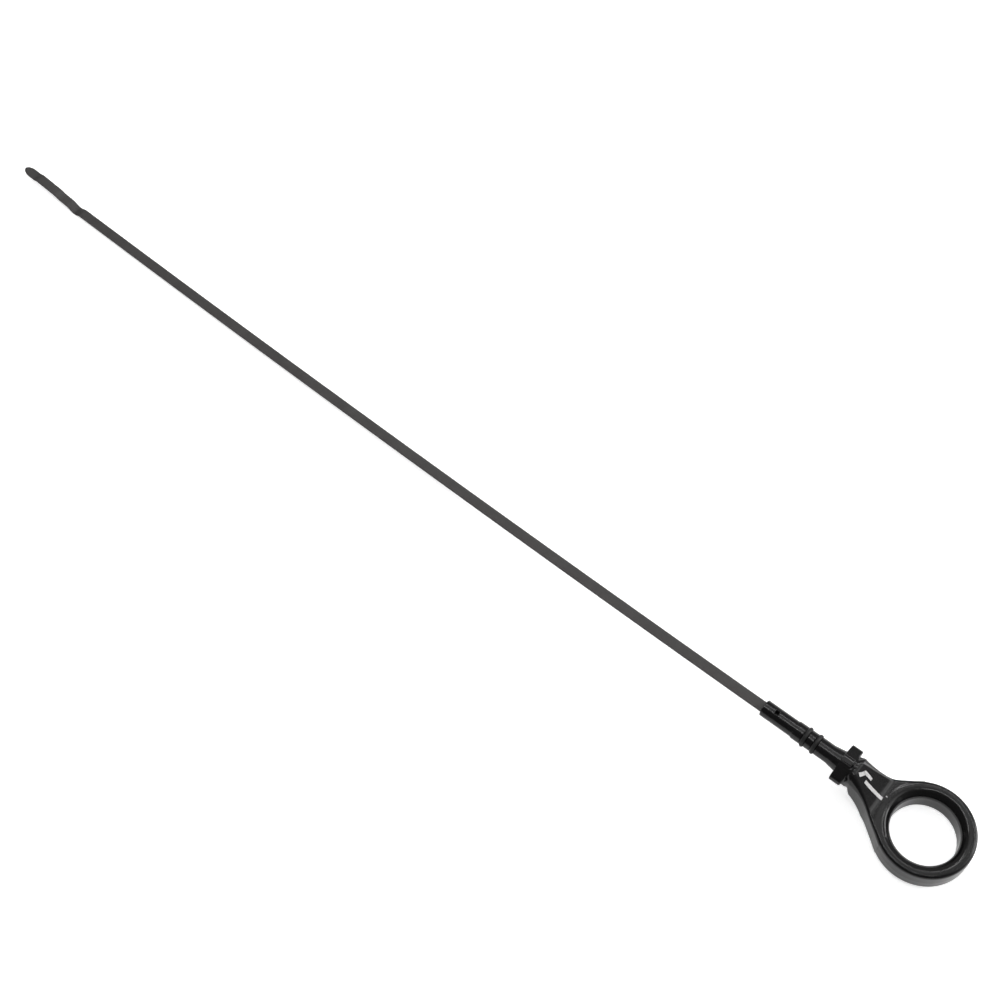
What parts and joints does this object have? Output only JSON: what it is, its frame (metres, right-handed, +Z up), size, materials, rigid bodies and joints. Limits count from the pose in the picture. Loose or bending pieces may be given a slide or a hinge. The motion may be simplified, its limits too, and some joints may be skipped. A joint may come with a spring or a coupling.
{
  "type": "engine oil dipstick",
  "caption": "Long dark spring-steel gauge strip moulded into a black plastic handle with finger ring, winged collar and two O-rings; lies flat at rest.",
  "frame": {"origin": "centre of the finger ring, midway between its two faces", "axes": "+X along the stick from the tip towards the ring, +Y across the ring, +Z up, with the stick lying at rest on the ring's back and the strip's first crank"},
  "size_m": [0.5547, 0.0402, 0.0225],
  "materials": {
    "black_plastic": "moulded black nylon with a soft gloss, faint flow marks and rounded edges",
    "nitrile_rubber": "dull black nitrile rubber",
    "blackened_steel": "dark grey oxidised spring steel, satin, faintly drawn along its length",
    "white_print": "thin white pad-printed ink"
  },
  "bodies": {
    "root": {"handle": "black_plastic", "o_ring_lower": "nitrile_rubber", "o_ring_upper": "nitrile_rubber", "blade": "blackened_steel"}
  },
  "joints": []
}
